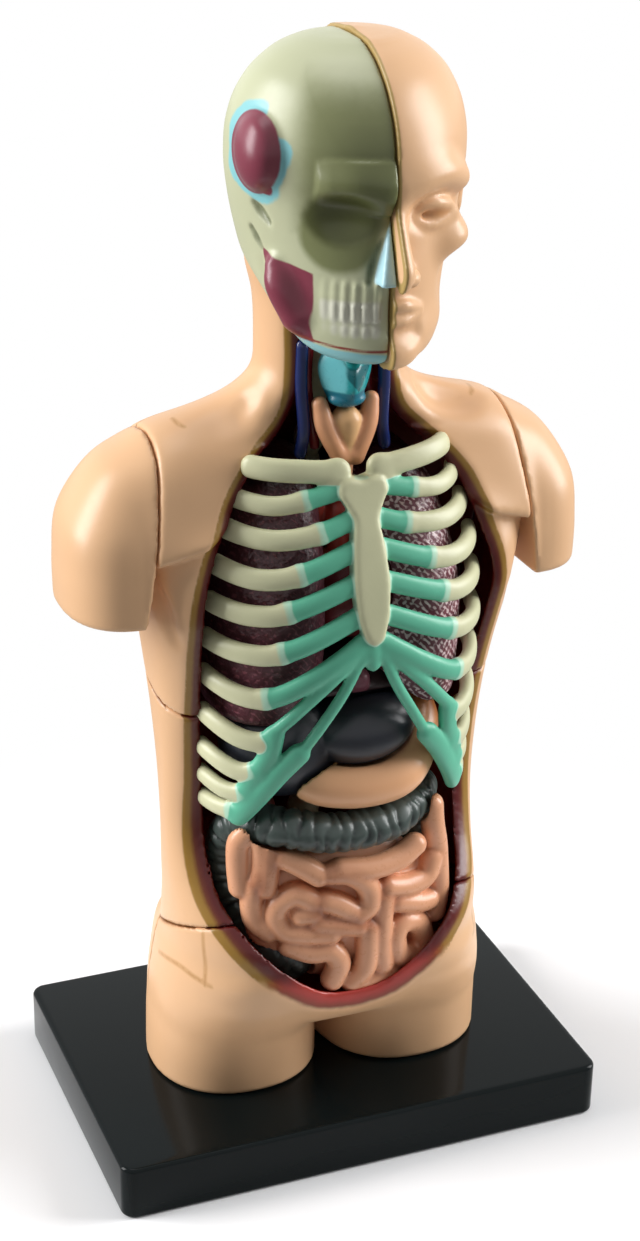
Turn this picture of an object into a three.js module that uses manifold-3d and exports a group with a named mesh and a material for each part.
// Take-apart model of the human head and trunk on a flat base.
// Millimetres. The figure looks along -Y, its left is +X, and +Z is up.
// The origin is the centre of the underside of the base.

import * as THREE from 'three';
import { mergeVertices } from 'three/addons/utils/BufferGeometryUtils.js';
import Module from 'manifold-3d';

const wasm = await Module();
wasm.setup();

// Driving dimensions
const baseWidth = 53;
const baseDepth = 35.65;
const baseHeight = 6;
const baseCorner = 1.4;
const baseEdge = 0.4;

const wall = 1.3;
const gap = 0.3;
const footGap = 0.1;
const trunkAxisY = -2;
const crotchZ = 13.4;
const cavityFloor = 15.2;
const cavityTop = 88;
const frontBackSeamY = 2;
const flankSeamZ = 49.5;
const flankSeamRise = 0.28;
const hipSeamZ = 26;
const hipSeamRise = -0.35;

const legCentreX = 9.3;
const legHalfWidth = 8.9;
const legPegY = -3.2;
const legPegRadius = 1.9;
const legPegHeight = 5;

const armSeamX = 19.9;
const armSeamZ = 60;
const armSeamLean = 0.135;
const armPegRadius = 1.8;
const armPegLength = 2.6;
const armPegZ = 69;
const armPegY = -0.8;

const neckSeamZ = 86;
const neckPostTop = 94.6;
const brainCentre = [0, -6.3, 104.3];
const brainSize = [8.2, 9.2, 7.2];
const skullInset = 0.5;

// Skin of the trunk: height, half width, front and back reach from the trunk's axis, squareness
const trunkStations = [
  [13.4, 17.9, 8.9, 10.6, 2.6],
  [16, 17.8, 10.8, 12.1, 2.4],
  [19, 17.6, 12.2, 12.6, 2.3],
  [22, 17.4, 13.3, 12.3, 2.2],
  [25, 17.2, 14.1, 11.2, 2.2],
  [28, 17.1, 12.6, 10.2, 2.2],
  [31, 17.0, 9.4, 9.4, 2.2],
  [36, 16.9, 6.6, 8.8, 2.2],
  [42, 17.1, 6.6, 9.4, 2.3],
  [48, 17.5, 7.4, 10.0, 2.5],
  [53, 18.0, 8.7, 10.5, 2.7],
  [58, 18.6, 10.1, 10.8, 3.0],
  [61, 19.2, 10.9, 11.0, 3.0],
  [64, 20.0, 10.1, 11.0, 3.0],
  [67, 20.6, 8.7, 10.8, 3.0],
  [70, 21.0, 7.9, 10.4, 3.0],
  [73, 21.2, 6.8, 9.3, 2.9],
  [75.5, 20.8, 5.1, 7.8, 2.7],
  [77.3, 17.6, 4.5, 6.8, 2.4],
  [78.8, 13.0, 4.4, 6.4, 2.2],
  [80.3, 9.6, 4.9, 6.2, 2.1],
  [82, 7.5, 6.0, 6.2, 2.0],
  [85, 6.8, 6.3, 6.3, 2.0],
  [88.6, 6.6, 6.3, 6.4, 2.0],
];

// Half width of the front opening at each height
const openingStations = [
  [16.5, 0], [16.7, 2.0], [17.4, 4.4], [18.5, 6.3], [20, 8.3], [22, 10.5],
  [25, 13.1], [28, 14.8], [31, 15.4], [43, 15.5], [61, 16.3], [64, 15.9], [67, 14.9],
  [70, 13.7], [73, 12.3], [76, 9.7], [79, 6.6], [82, 5.7], [89, 5.6],
];

// Outer face of the rib cage: height, half width, front reach from the trunk's axis
const ribStations = [
  [36, 14.2, 11.0], [40, 14.6, 11.8], [45, 14.9, 12.5], [50, 15.0, 13.3], [54, 15.0, 13.7],
  [58, 15.1, 13.9], [62, 15.0, 13.3], [65.4, 14.7, 12.6], [69, 13.8, 11.5], [72, 12.9, 10.4],
  [75, 12.3, 9.4], [78, 11.5, 8.5],
];
const ribSquareness = 2.7;
const ribHeight = 1.05;
const clavicleHeight = 1.15;
const ribDepth = 0.8;

// Centre lines of the right ribs from the side to the breastbone, as distance out and height
const ribPaths = {
  clavicle: [[10.4, 75.4], [6.2, 75.1], [1.4, 74.4]],
  rib1: [[12.2, 72.3], [8.9, 72.1], [5.8, 72.6], [1.6, 73.4]],
  rib2: [[13.0, 69.4], [9.2, 69.1], [4.8, 69.6], [1.2, 70.6]],
  rib3: [[13.9, 65.9], [10.8, 65.5], [7.1, 66.0], [1.4, 67.8]],
  rib4: [[14.4, 62.1], [11.4, 62.0], [8.4, 62.5], [1.4, 64.8]],
  rib5: [[14.7, 58.2], [12.3, 58.1], [9.0, 58.6], [1.4, 61.6]],
  rib6: [[14.7, 54.1], [12.6, 53.5], [10.0, 53.7], [6.4, 55.6], [1.0, 59.0]],
  rib7: [[14.7, 49.8], [12.6, 48.8], [10.4, 48.6], [6.6, 49.9]],
  rib8: [[14.7, 45.8], [12.6, 44.9], [9.4, 45.2]],
  rib9: [[14.6, 42.6], [13.2, 42.2], [11.0, 42.6]],
  rib10: [[14.4, 39.8], [12.4, 40.0]],
  margin: [[0.6, 57.8], [3.8, 54.2], [7.6, 49.4], [10.3, 45.0], [12.6, 40.0]],
};

// Finishes
const finish = (color, roughness) => new THREE.MeshStandardMaterial({ color, roughness, metalness: 0 });
const finishes = {
  base: finish(0x101012, 0.12),
  skin: finish(0xe8c49a, 0.35),
  skull: finish(0xb4b995, 0.4),
  bone: finish(0xcdd2b4, 0.4),
  brain: finish(0xd9a79c, 0.45),
  cartilage: finish(0x3fb2b8, 0.35),
  thyroid: finish(0xd9a184, 0.4),
  vein: finish(0x1f2c66, 0.35),
  artery: finish(0x7a1f26, 0.35),
  lung: finish(0x6a3440, 0.45),
  heart: finish(0x8e2a2c, 0.4),
  diaphragm: finish(0x9c5a5c, 0.45),
  liver: finish(0x2f3440, 0.4),
  stomach: finish(0xd99b70, 0.4),
  spleen: finish(0x5b2c46, 0.4),
  pancreas: finish(0xd8b070, 0.45),
  kidney: finish(0x7a2f2c, 0.4),
  colon: finish(0x46524a, 0.4),
  gut: finish(0xdf9f80, 0.4),
  bladder: finish(0xd9bf8c, 0.4),
};

// Helpers for closed shapes

function signedVolume(points, index) {
  let volume = 0;
  for (let i = 0; i < index.length; i += 3) {
    const [a, b, c] = [points[index[i]], points[index[i + 1]], points[index[i + 2]]];
    volume += a.dot(b.clone().cross(c)) / 6;
  }
  return volume;
}

// A skin over rings that have the same number of points, closed by a fan at each end
function loft(rings) {
  const count = rings[0].length;
  const points = rings.flat();
  const index = [];
  for (let r = 0; r < rings.length - 1; r++) {
    for (let i = 0; i < count; i++) {
      const a = r * count + i;
      const b = r * count + (i + 1) % count;
      index.push(a, b, b + count, a, b + count, a + count);
    }
  }
  const centreOf = ring => ring.reduce((sum, p) => sum.add(p), new THREE.Vector3()).divideScalar(count);
  const bottom = points.push(centreOf(rings[0])) - 1;
  const top = points.push(centreOf(rings.at(-1))) - 1;
  const lastRing = (rings.length - 1) * count;
  for (let i = 0; i < count; i++) {
    const next = (i + 1) % count;
    index.push(bottom, next, i);
    index.push(top, lastRing + i, lastRing + next);
  }
  if (signedVolume(points, index) < 0) {
    index.reverse();
  }
  const geometry = new THREE.BufferGeometry().setFromPoints(points);
  geometry.setIndex(index);
  return solidOf(geometry);
}

function solidOf(geometry) {
  geometry.deleteAttribute('normal');
  geometry.deleteAttribute('uv');
  const merged = mergeVertices(geometry, 1e-4);
  return new wasm.Manifold(new wasm.Mesh({
    numProp: 3,
    vertProperties: new Float32Array(merged.attributes.position.array),
    triVerts: new Uint32Array(merged.index.array),
  }));
}

function geometryOf(solid) {
  const mesh = solid.getMesh();
  const geometry = new THREE.BufferGeometry();
  geometry.setAttribute('position', new THREE.BufferAttribute(new Float32Array(mesh.vertProperties), 3));
  geometry.setIndex(new THREE.BufferAttribute(new Uint32Array(mesh.triVerts), 1));
  geometry.computeVertexNormals();
  return geometry;
}

const join = (...solids) => solids.reduce((all, solid) => all.add(solid));
const carve = (solid, ...others) => others.reduce((left, other) => left.subtract(other), solid);

function interpolate(stations, z) {
  const last = stations.length - 1;
  const clamped = THREE.MathUtils.clamp(z, stations[0][0], stations[last][0]);
  let i = 0;
  while (i < last - 1 && stations[i + 1][0] < clamped) {
    i++;
  }
  const t = (clamped - stations[i][0]) / (stations[i + 1][0] - stations[i][0]);
  return stations[i].map((value, k) => THREE.MathUtils.lerp(value, stations[i + 1][k], t));
}

// A closed oval at one height: half width, front reach, back reach and squareness
function oval(z, centreY, halfWidth, front, back, squareness, count, frontSquareness = squareness) {
  return Array.from({ length: count }, (_, i) => {
    const angle = 2 * Math.PI * i / count;
    const power = 2 / (Math.sin(angle) < 0 ? frontSquareness : squareness);
    const across = Math.sign(Math.cos(angle)) * Math.abs(Math.cos(angle)) ** power;
    const along = Math.sign(Math.sin(angle)) * Math.abs(Math.sin(angle)) ** power;
    return new THREE.Vector3(halfWidth * across, centreY + (along < 0 ? front : back) * along, z);
  });
}

// A rounded mass: an ellipsoid turned about its own centre
function mass(centre, size, around = 14, rows = 10, turn = [0, 0, 0]) {
  const geometry = new THREE.SphereGeometry(1, around, rows);
  geometry.scale(...size);
  geometry.rotateX(turn[0]);
  geometry.rotateY(turn[1]);
  geometry.rotateZ(turn[2]);
  geometry.translate(...centre);
  return solidOf(geometry);
}

const grown = (size, by) => size.map(half => half + by);

// A tube of changing size along a smooth path, with drawn-in ends
function tube(path, radius, { sides = 8, steps = 12, endTaper = 0.6 } = {}) {
  const curve = new THREE.CatmullRomCurve3(path.map(p => new THREE.Vector3(...p)));
  const frames = curve.computeFrenetFrames(steps, false);
  const radiusAt = typeof radius === 'function' ? radius : () => radius;
  const ringAt = (t, normal, binormal, scale) => {
    const centre = curve.getPointAt(t);
    return Array.from({ length: sides }, (_, i) => {
      const angle = 2 * Math.PI * i / sides;
      return centre.clone()
        .addScaledVector(normal, Math.cos(angle) * radiusAt(t) * scale)
        .addScaledVector(binormal, Math.sin(angle) * radiusAt(t) * scale);
    });
  };
  const rings = [];
  for (let s = 0; s <= steps; s++) {
    const scale = s === 0 || s === steps ? endTaper : 1;
    rings.push(ringAt(s / steps, frames.normals[s], frames.binormals[s], scale));
  }
  return loft(rings);
}

function block(low, high) {
  const size = high.map((value, i) => value - low[i]);
  const geometry = new THREE.BoxGeometry(...size);
  geometry.translate(...low.map((value, i) => value + size[i] / 2));
  return solidOf(geometry);
}

function pin(radius, start, end, sides = 16) {
  const from = new THREE.Vector3(...start);
  const along = new THREE.Vector3(...end).sub(from);
  const geometry = new THREE.CylinderGeometry(radius, radius, along.length(), sides);
  geometry.applyQuaternion(new THREE.Quaternion().setFromUnitVectors(
    new THREE.Vector3(0, 1, 0), along.clone().normalize()));
  geometry.translate(...from.addScaledVector(along, 0.5).toArray());
  return solidOf(geometry);
}

// A slab with a slanted outline in one plane, pushed through along an axis
function prism(outline, axis, low, high) {
  const shape = new THREE.Shape(outline.map(([u, v]) => new THREE.Vector2(u, v)));
  const geometry = new THREE.ExtrudeGeometry(shape, { depth: high - low, bevelEnabled: false });
  if (axis === 'x') {
    geometry.translate(0, 0, low);
    geometry.applyMatrix4(new THREE.Matrix4().set(0, 0, 1, 0, 1, 0, 0, 0, 0, 1, 0, 0, 0, 0, 0, 1));
  } else {
    geometry.translate(0, 0, -high);
    geometry.rotateX(Math.PI / 2);
  }
  return solidOf(geometry);
}

const mirrorX = solid => solid.mirror([1, 0, 0]);

// Trunk shells

const trunkRingPoints = 30;

function trunkSkin(grow, from, to, everyStation = 1) {
  const heights = trunkStations.map(station => station[0])
    .filter((z, i) => z > from + 0.4 && z < to - 0.4 && i % everyStation === 0);
  const rings = [from, ...heights, to].map(z => {
    const [, halfWidth, front, back, squareness] = interpolate(trunkStations, z);
    return oval(z, trunkAxisY, halfWidth + grow, front + grow, back + grow, squareness, trunkRingPoints);
  });
  return loft(rings);
}

// The flat of the arm seam leans in towards the top of the shoulder
function armSeamSide(offset) {
  const seamX = z => armSeamX + offset - (z - armSeamZ) * armSeamLean;
  const [low, high, far] = [0, 100, 40];
  return prism([[seamX(low), low], [far, low], [far, high], [seamX(high), high]], 'y', -40, 40);
}

function legStump(side) {
  const rings = [
    [baseHeight + footGap, legHalfWidth, 8.9, 8.8],
    [10, legHalfWidth - 0.1, 9.1, 9.2],
    [16, legHalfWidth - 0.4, 8.6, 9.6],
    [20, legHalfWidth - 1, 7.6, 9],
  ].map(([z, halfWidth, front, back]) => oval(z, -0.8, halfWidth, front, back, 2.2, 24));
  return loft(rings).translate([side * legCentreX, 0, 0]);
}

const openingBackY = -1;

function openingForm(shrink) {
  const side = openingStations.map(([z, half]) => [Math.max(half - shrink, 0), z + shrink]);
  const otherSide = side.slice(1).reverse().map(([half, z]) => [-half, z]);
  return prism([...side, ...otherSide], 'y', -40, openingBackY - shrink);
}

function neckPost(grow) {
  const rings = [
    [86, 6.6, 6.3, 6.4],
    [90, 7.0, 6.2, 6.4],
    [neckPostTop - 1, 7.8, 6.0, 6.4],
    [neckPostTop + grow, 7.0, 5.2, 5.8],
  ].map(([z, halfWidth, front, back]) => (
    oval(z, trunkAxisY, halfWidth + grow, front + grow, back + grow, 2, 24)));
  return loft(rings);
}

function hollowFigure() {
  let outside = join(trunkSkin(0, crotchZ, 88.6), neckPost(0), legStump(1), legStump(-1));
  let inside = trunkSkin(-wall, cavityFloor, cavityTop);
  for (const turn of [solid => solid, mirrorX]) {
    outside = carve(outside, turn(armSeamSide(0)));
    inside = carve(inside, turn(armSeamSide(-wall)));
  }
  const armSockets = [1, -1].map(side => (
    pin(armPegRadius + gap, [side * 25, armPegY, armPegZ], [side * 14, armPegY, armPegZ])));
  const legSockets = [1, -1].map(side => pin(legPegRadius + gap,
    [side * legCentreX, legPegY, 0], [side * legCentreX, legPegY, baseHeight + legPegHeight + gap]));
  return carve(outside, inside, openingForm(0), ...armSockets, ...legSockets);
}

// The chest panels end at the flank seam, and the pelvis front begins under the hip seam
function chestRegion(shrink) {
  const seamZ = y => flankSeamZ + flankSeamRise * (y + 6);
  return prism([
    [-40, seamZ(-40) + shrink],
    [frontBackSeamY - shrink, seamZ(frontBackSeamY) + shrink],
    [frontBackSeamY - shrink, 120],
    [-40, 120],
  ], 'x', -40, 40);
}

function pelvisRegion(shrink) {
  const seamZ = y => hipSeamZ + hipSeamRise * (y + 6);
  return prism([
    [-40, -10],
    [frontBackSeamY - shrink, -10],
    [frontBackSeamY - shrink, seamZ(frontBackSeamY) - shrink],
    [-40, seamZ(-40) - shrink],
  ], 'x', -40, 40);
}

function trunkShells() {
  const figure = hollowFigure();
  const neckAbove = z => block([-20, -30, z], [20, frontBackSeamY + 1, 120]);
  const chest = carve(figure.intersect(chestRegion(gap / 2)), neckAbove(neckSeamZ));
  const chestRoom = carve(chestRegion(-gap / 2), neckAbove(neckSeamZ + gap));
  return {
    chest_right: chest.intersect(sideRoom(-1)),
    chest_left: chest.intersect(sideRoom(1)),
    pelvis_front: figure.intersect(pelvisRegion(gap / 2)),
    back_shell: carve(figure, chestRoom, pelvisRegion(-gap / 2)),
  };
}

function arm() {
  const rings = [
    [60.2, 20.2, 6.2, 7.6, 7.5],
    [60.8, 20.2, 6.5, 7.9, 7.8],
    [65, 20.2, 6.5, 7.9, 8.1],
    [69.5, 19.8, 6.4, 7.3, 8.0],
    [72.3, 19.0, 5.7, 6.1, 7.1],
    [74.6, 18.0, 4.7, 4.7, 5.7],
    [76.1, 17.0, 3.5, 3.3, 4.1],
    [76.8, 16.4, 2.1, 1.8, 2.4],
  ].map(([z, centreX, halfWidth, front, back]) => (
    oval(z, -0.9, halfWidth, front, back, 2.4, 28).map(p => p.setX(p.x + centreX))));
  const peg = pin(armPegRadius, [armSeamX, armPegY, armPegZ], [armSeamX - armPegLength - 1.2, armPegY, armPegZ]);
  return join(loft(rings).intersect(armSeamSide(gap)), peg);
}

// Base

function basePlate() {
  const halfWidth = baseWidth / 2 - baseEdge;
  const halfDepth = baseDepth / 2 - baseEdge;
  const shape = new THREE.Shape();
  shape.moveTo(-halfWidth + baseCorner, -halfDepth);
  shape.lineTo(halfWidth - baseCorner, -halfDepth);
  shape.absarc(halfWidth - baseCorner, -halfDepth + baseCorner, baseCorner, -Math.PI / 2, 0);
  shape.absarc(halfWidth - baseCorner, halfDepth - baseCorner, baseCorner, 0, Math.PI / 2);
  shape.absarc(-halfWidth + baseCorner, halfDepth - baseCorner, baseCorner, Math.PI / 2, Math.PI);
  shape.absarc(-halfWidth + baseCorner, -halfDepth + baseCorner, baseCorner, Math.PI, 1.5 * Math.PI);
  const geometry = new THREE.ExtrudeGeometry(shape, {
    depth: baseHeight - 2 * baseEdge,
    bevelThickness: baseEdge,
    bevelSize: baseEdge,
    bevelSegments: 2,
    curveSegments: 5,
  });
  geometry.translate(0, 0, baseEdge);
  const pegs = [1, -1].map(side => pin(legPegRadius,
    [side * legCentreX, legPegY, baseHeight - 1], [side * legCentreX, legPegY, baseHeight + legPegHeight]));
  return join(solidOf(geometry), ...pegs);
}

// Head, split down the middle

// Height, half width, then the place of the widest point, the front and the back along Y
const headStations = [
  [86.4, 3.4, -13.2, -15.6, -11.2],
  [87.2, 5.4, -11.6, -16.9, -8.6],
  [89, 7.2, -10.0, -17.4, -6.4],
  [92, 8.6, -7.0, -17.2, -1.4],
  [94.4, 9.5, -5.0, -17.3, 3.2],
  [97, 10.2, -4.6, -17.2, 4.3],
  [101, 11.0, -4.6, -17.1, 4.8],
  [104, 11.3, -4.8, -17.8, 4.9],
  [107, 11.1, -5.0, -17.6, 4.7],
  [110, 10.1, -5.4, -16.2, 3.8],
  [112.4, 8.3, -5.8, -14.0, 2.1],
  [114, 5.9, -5.8, -11.4, -0.2],
  [114.8, 3.4, -5.8, -8.8, -2.8],
  [115, 1.2, -5.8, -6.8, -4.8],
];
const faceSquareness = 1.8;

function headForm(grow) {
  const rings = headStations.map(([z, halfWidth, widestY, front, back]) => {
    const height = z > 112 ? z + grow * (z - 112) / 3 : z;
    return oval(height, widestY, halfWidth + grow, widestY - front + grow, back - widestY + grow, 2, 24,
      faceSquareness);
  });
  return loft(rings);
}

const brainForm = grow => mass(brainCentre, grown(brainSize, grow), 16, 12);

// Everything on one side of the midline, half a gap away from it
const sideRoom = side => (side > 0
  ? block([gap / 2, -40, 0], [40, 40, 130])
  : block([-40, -40, 0], [-gap / 2, 40, 130]));

const halfOfHead = (form, side) => carve(form, brainForm(gap), neckPost(gap)).intersect(sideRoom(side));
const brainHalf = side => brainForm(0).intersect(sideRoom(side));

function faceLeft() {
  const nose = loft([
    [94.6, 1.9, -18.6], [95.4, 2.0, -19.6], [97, 1.5, -18.9], [99.5, 1.0, -17.9], [101.4, 0.8, -17.0],
  ].map(([z, halfWidth, front]) => oval(z, -15.5, halfWidth, -15.5 - front, 1, 2, 10)));
  const lips = mass([0, -16.7, 91.6], [3.4, 1.3, 1.2], 10, 6);
  const ear = mass([10.6, -5.6, 98.6], [0.9, 1.7, 2.9], 10, 6);
  const eyeHollow = mass([4.3, -18.0, 100.6], [2.4, 1.7, 1.2], 10, 6);
  return halfOfHead(join(carve(headForm(0), eyeHollow), nose, lips, ear), 1);
}

function skullRight() {
  const eyeSocket = mass([-4.7, -17.2, 100.4], [3.2, 3.4, 2.7], 12, 8);
  const noseHollow = mass([0, -17.4, 96.6], [1.5, 2.0, 2.5], 12, 8);
  const cheekHollow = mass([-9.2, -12.6, 93.6], [2.3, 3.6, 3.0], 10, 8);
  const cheekbone = tube([[-5.2, -14.8, 97.0], [-7.8, -12.8, 97.0], [-9.4, -9.2, 97.6], [-9.8, -5.4, 98.4]],
    t => 1.15 - 0.35 * t, { sides: 6, steps: 5 });
  const muscle = tube([[-8.3, -9.8, 97.0], [-7.8, -10.2, 93.5], [-6.2, -11.0, 89.6]],
    t => 1.5 + 0.3 * Math.sin(Math.PI * t), { sides: 6, steps: 4 });
  const teeth = tube([[0.4, -17.3, 92], [-2.4, -16.7, 92], [-4.8, -14.6, 92]], 0.9, { sides: 6, steps: 5 });
  const bare = carve(headForm(-skullInset), eyeSocket, noseHollow, cheekHollow);
  return halfOfHead(join(bare, cheekbone, muscle, teeth), -1);
}

// Rib cage

function ribPoint(out, z, side, inset = ribDepth) {
  const [, halfWidth, front] = interpolate(ribStations, z);
  const across = Math.min(out, halfWidth - 0.12) / halfWidth;
  const along = (1 - across ** ribSquareness) ** (1 / ribSquareness);
  const surface = new THREE.Vector2(out, -front * along);
  const inward = surface.clone().normalize().multiplyScalar(-inset);
  surface.add(inward);
  return new THREE.Vector3(side * surface.x, trunkAxisY + surface.y, z);
}

// A flat-sided bar that lies on the face of the rib cage
function bar(path, side, steps, height) {
  const curve = new THREE.CatmullRomCurve3(path.map(([out, z]) => ribPoint(out, z, side)));
  const axis = new THREE.Vector3();
  const sides = 6;
  const rings = [];
  for (let s = 0; s <= steps; s++) {
    const t = s / steps;
    const centre = curve.getPointAt(t);
    const tangent = curve.getTangentAt(t);
    axis.set(centre.x, centre.y - trunkAxisY, 0).normalize();
    const across = new THREE.Vector3().crossVectors(tangent, axis).normalize();
    const outward = new THREE.Vector3().crossVectors(across, tangent).normalize();
    const shrink = s === 0 || s === steps ? 0.65 : 1;
    rings.push(Array.from({ length: sides }, (_, i) => {
      const angle = 2 * Math.PI * (i + 0.5) / sides;
      return centre.clone()
        .addScaledVector(across, Math.cos(angle) * height * shrink)
        .addScaledVector(outward, Math.sin(angle) * ribDepth * shrink);
    }));
  }
  return loft(rings);
}

function breastbone() {
  const stations = [
    [56.6, 0.5], [57.6, 0.9], [58.6, 1.5], [61, 2.0], [65, 2.0], [69, 1.6], [71, 1.5], [73, 2.3],
    [74.4, 3.1], [75.2, 2.6],
  ];
  const rings = stations.map(([z, half]) => {
    const front = ribPoint(0, z, 1, 0).y;
    return oval(z, front + ribDepth, half, ribDepth * 1.15, ribDepth, 2.4, 12);
  });
  return loft(rings);
}

function ribCage() {
  const bars = [];
  for (const side of [-1, 1]) {
    for (const [name, path] of Object.entries(ribPaths)) {
      const steps = name === 'margin' ? 7 : path.length + 1;
      bars.push(bar(path, side, steps, name === 'clavicle' ? clavicleHeight : ribHeight));
    }
  }
  return join(breastbone(), ...bars);
}

// Room that the organs may take up behind the rib cage and inside the shells
function ribRoom(clearance) {
  const inset = 2 * ribDepth + clearance;
  const rings = ribStations.map(([z, halfWidth, front]) => (
    oval(z, trunkAxisY, halfWidth - inset, front - inset, 8, ribSquareness, 18)));
  return loft(rings);
}

const trunkRoom = () => join(
  trunkSkin(-wall - 1.5 * gap, cavityFloor + gap, cavityTop - gap, 2),
  openingForm(gap));

// Chest

function spineColumn() {
  const path = [
    [0, 4.2, 17.6], [0, 4.8, 22], [0, 3.0, 29], [0, 2.0, 36], [0, 3.0, 45], [0, 4.8, 56],
    [0, 4.6, 66], [0, 2.2, 74], [0, 0.4, 81], [0, 0.6, 86.6],
  ];
  const turns = 22;
  const radius = t => 1.75 - 0.35 * t + 0.18 * Math.cos(2 * Math.PI * turns * t);
  return tube(path, radius, { sides: 6, steps: turns * 2, endTaper: 0.9 });
}

// Room round the spine, open to the back so that an organ can be drawn off it
const spineRoom = () => prism([
  [14, 1.0], [14, 12], [90, 12], [90, -2.2], [81, -2.2], [74, -0.4], [66, 2.0], [56, 2.2],
  [45, 0.4], [36, -0.6], [29, 0.4], [22, 2.0],
].map(([z, y]) => [y, z]), 'x', -spineRoomHalf, spineRoomHalf);

function heartForm(grow) {
  const muscle = mass([1.4, -6.6, 60.6], grown([4.5, 3.8, 5.4], grow), 14, 10, [0.35, 0.5, 0]);
  const archPath = [[0.4, -6.2, 63], [-0.2, -6.0, 67], [0.6, -4.4, 69.2], [1.6, -2.2, 67.8], [1.7, -1.4, 63.5]];
  const cavaPath = [[-2.4, -4.2, 56.5], [-2.2, -4.6, 62], [-2.0, -4.6, 69]];
  return join(muscle, tube(archPath, 1.25 + grow, { steps: 10 }), tube(cavaPath, 1.0 + grow, { steps: 4 }));
}

const spineRoomHalf = 2.4;

const domeCentre = [0, -3.6, 46.4];
const domeSize = [12.8, 9.2, 8.4];
const domeWall = 1.0;

const domeForm = grow => mass(domeCentre, grown(domeSize, grow), 20, 12);

// The dome's rim climbs from the back to the front, where the breastbone ends
function domeRim(shift) {
  const rimZ = y => 48.2 + shift - 0.5 * (y + 4);
  return prism([[-30, rimZ(-30)], [-30, 80], [20, 80], [20, rimZ(20)]], 'x', -30, 30);
}

function diaphragmForm(grow) {
  const skinOnly = carve(domeForm(grow), domeForm(-domeWall - grow));
  return skinOnly.intersect(domeRim(-grow));
}

function lung(side) {
  const rings = [
    [49, 7.6, -3.4, 5.2, 7.4, 7.8],
    [56, 7.3, -3.4, 5.9, 8.8, 8.8],
    [62, 7.0, -3.2, 5.7, 8.6, 8.6],
    [68, 6.4, -2.6, 4.9, 7.2, 7.8],
    [72, 5.8, -2.0, 3.9, 5.6, 6.2],
    [74.3, 5.2, -1.6, 2.4, 3.6, 4.0],
    [75, 5.0, -1.4, 1.2, 1.8, 2.0],
  ].map(([z, centreX, centreY, halfWidth, front, back]) => (
    oval(z, centreY, halfWidth, front, back, 2.2, 18).map(p => p.setX(side * (p.x + centreX)))));
  const shaped = loft(rings).intersect(ribRoom(gap)).intersect(trunkRoom()).intersect(sideRoom(side));
  return carve(shaped, heartForm(gap), domeForm(gap), liverForm(gap), spineRoom());
}

const cricoidForm = grow => mass([0, -7.3, 80.9], grown([1.9, 1.5, 0.9], grow), 12, 6);

function larynx() {
  const shield = loft([
    [81, 1.7, -8.8], [82.4, 2.3, -9.4], [84, 2.6, -9.2], [85.2, 2.2, -8.6],
  ].map(([z, halfWidth, front]) => oval(z, -6.8, halfWidth, -6.8 - front, 1.3, 2.2, 12)));
  return join(cricoidForm(0), shield);
}

function thyroidGland() {
  const windpipe = tube([[0, -6.0, 71.5], [0, -6.6, 76], [0, -6.9, 79.4]], 1.25,
    { sides: 8, steps: 3, endTaper: 0.9 });
  const lobes = [1, -1].map(side => tube(
    [[side * 2.4, -7.2, 80.4], [side * 1.9, -7.6, 77.8], [side * 0.7, -8.2, 75.2]],
    t => 0.95 - 0.25 * t, { sides: 6, steps: 3 }));
  const bridge = mass([0, -7.9, 76.2], [1.3, 0.7, 0.8], 8, 5);
  return carve(join(windpipe, ...lobes, bridge), cricoidForm(gap));
}

// Neck vessels run beside the windpipe, the vein outside the artery
const vein = side => tube(
  [[side * 4.1, -6.1, 86.4], [side * 4.2, -6.3, 82], [side * 4.0, -6.6, 78], [side * 4.4, -6.4, 75.8]],
  0.62, { steps: 7 });
const artery = side => tube(
  [[side * 2.9, -4.9, 86.4], [side * 3.1, -4.9, 82], [side * 2.7, -5.4, 78], [side * 2.5, -5.6, 75.8]],
  0.52, { steps: 7 });

// Belly

function liverForm(grow) {
  const rightLobe = mass([-6.0, -6.0, 45.6], grown([6.1, 6.2, 5.9], grow), 14, 10, [0, 0.12, 0]);
  const leftLobe = mass([1.4, -8.9, 47.3], grown([5.8, 4.7, 3.9], grow), 14, 8, [0, -0.1, 0]);
  return join(rightLobe, leftLobe);
}

function stomachForm(grow) {
  const path = [
    [7.4, -4.0, 47.8], [8.0, -6.6, 45.0], [5.4, -10.0, 42.8],
    [1.4, -11.0, 42.3], [-3.2, -10.6, 42.9], [-5.8, -9.8, 44.0],
  ];
  return tube(path, t => 3.0 - 0.5 * t - 0.9 * t ** 6 + grow, { sides: 10, steps: 9 });
}

const colonPath = [
  [-5.2, -8.6, 20.9], [-8.0, -7.6, 23.4], [-10.4, -5.2, 28], [-11.0, -4.2, 33], [-10.2, -6.4, 36.8],
  [-7.0, -10.4, 37.7], [-2.0, -11.6, 36.8], [4.2, -11.0, 36.8], [8.2, -8.0, 37.4], [10.4, -4.0, 36.0],
  [10.8, -2.4, 32], [10.4, -2.6, 27.2], [8.0, -2.6, 23.6], [4.4, -2.2, 22.6], [1.0, -1.8, 22.8],
];

function colonForm(grow) {
  const pouches = 20;
  const radius = t => 2.05 - 0.5 * t ** 3 + 0.16 * Math.cos(2 * Math.PI * pouches * t) + grow;
  return tube(colonPath, radius, { sides: 8, steps: pouches * 2, endTaper: 0.5 });
}

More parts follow.
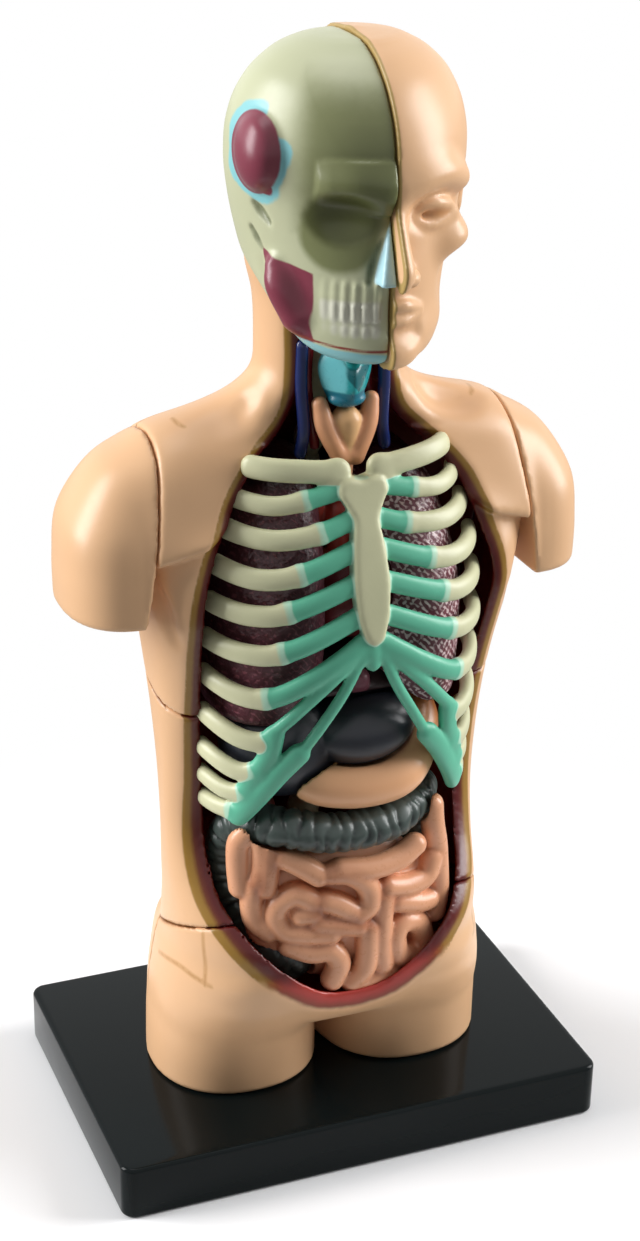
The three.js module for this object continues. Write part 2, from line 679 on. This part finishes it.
// The small intestine: one coiled tube in front of a plain core that backs its loops
function gutLoops() {
  const rows = 6;
  const [top, bottom] = [32.8, 20.2];
  const path = [];
  for (let row = 0; row < rows; row++) {
    const z = THREE.MathUtils.lerp(top, bottom, row / (rows - 1));
    const reach = 11.3 * Math.sqrt(1 - ((z - 29.5) / 12.6) ** 2) - 0.8;
    const side = row % 2 === 0 ? 1 : -1;
    for (const k of [-1, -0.5, 0, 0.5, 1]) {
      const wave = 0.7 * Math.cos(Math.PI * 2 * k);
      path.push([side * k * reach, -11.8 + 2.4 * k * k, z + wave]);
    }
  }
  return tube(path, 1.4, { sides: 6, steps: 44 });
}

function smallIntestine() {
  const core = mass([0, -8.7, 26.6], [10.8, 3.3, 8.4], 16, 10);
  const colonBehind = [0, 0.5, 1, 1.5, 2.1, 2.8, 3.5].map(back => colonForm(gap).translate([0, back, 0]));
  const colonEnd = mass([-5.3, -7.5, 20.8], [2.0, 3.3, 1.8], 12, 8);
  return carve(join(core, gutLoops()), ...colonBehind, colonEnd, bladderForm(gap));
}

const bladderForm = grow => mass([0, -4.2, 18.0], grown([3.0, 2.4, 2.1], grow), 12, 8);

function pancreas() {
  return tube([[-4.6, -3.0, 38.6], [-1.8, -2.4, 39.0], [3, -2.4, 40.8], [6.6, -1.6, 42.2]],
    t => 1.35 - 0.5 * t, { steps: 7 });
}

const kidney = side => tube(
  [[side * 4.7, 1.4, 39.9], [side * 5.8, 1.9, 37.9], [side * 5.8, 1.9, 35.5], [side * 4.7, 1.6, 33.5]],
  t => 1.2 + 0.4 * Math.sin(Math.PI * t), { sides: 10, steps: 7 });

// Everything together

const shells = trunkShells();
const stomach = carve(stomachForm(0), liverForm(gap), diaphragmForm(gap)).intersect(trunkRoom());
const overDome = carve(domeForm(12), domeForm(-domeWall - gap)).intersect(domeRim(-gap));
const liver = carve(liverForm(0), overDome);
const largeIntestine = carve(colonForm(0), stomachForm(gap), bladderForm(gap));

const pieces = [
  ['base_plate', basePlate(), finishes.base],
  ['back_shell', shells.back_shell, finishes.skin],
  ['chest_right', shells.chest_right, finishes.skin],
  ['chest_left', shells.chest_left, finishes.skin],
  ['pelvis_front', shells.pelvis_front, finishes.skin],
  ['arm_right', mirrorX(arm()), finishes.skin],
  ['arm_left', arm(), finishes.skin],
  ['skull_right', skullRight(), finishes.skull],
  ['face_left', faceLeft(), finishes.skin],
  ['brain_right', brainHalf(-1), finishes.brain],
  ['brain_left', brainHalf(1), finishes.brain],
  ['spine_column', spineColumn(), finishes.bone],
  ['larynx', larynx(), finishes.cartilage],
  ['thyroid_gland', thyroidGland(), finishes.thyroid],
  ['jugular_vein_right', vein(-1), finishes.vein],
  ['jugular_vein_left', vein(1), finishes.vein],
  ['carotid_artery_right', artery(-1), finishes.artery],
  ['carotid_artery_left', artery(1), finishes.artery],
  ['rib_cage', ribCage(), finishes.bone],
  ['lung_right', lung(-1), finishes.lung],
  ['lung_left', lung(1), finishes.lung],
  ['heart', carve(heartForm(0), domeForm(gap)), finishes.heart],
  ['diaphragm', carve(diaphragmForm(0), spineRoom()), finishes.diaphragm],
  ['liver', liver, finishes.liver],
  ['stomach', stomach, finishes.stomach],
  ['spleen', mass([9.2, 0.6, 40.9], [1.5, 2.6, 2.7], 10, 8), finishes.spleen],
  ['pancreas', pancreas(), finishes.pancreas],
  ['kidney_right', kidney(-1), finishes.kidney],
  ['kidney_left', kidney(1), finishes.kidney],
  ['large_intestine', largeIntestine, finishes.colon],
  ['small_intestine', smallIntestine(), finishes.gut],
  ['bladder', bladderForm(0), finishes.bladder],
];

const model = new THREE.Group();
for (const [name, solid, material] of pieces) {
  const mesh = new THREE.Mesh(geometryOf(solid), material);
  mesh.name = name;
  model.add(mesh);
}

export default model;
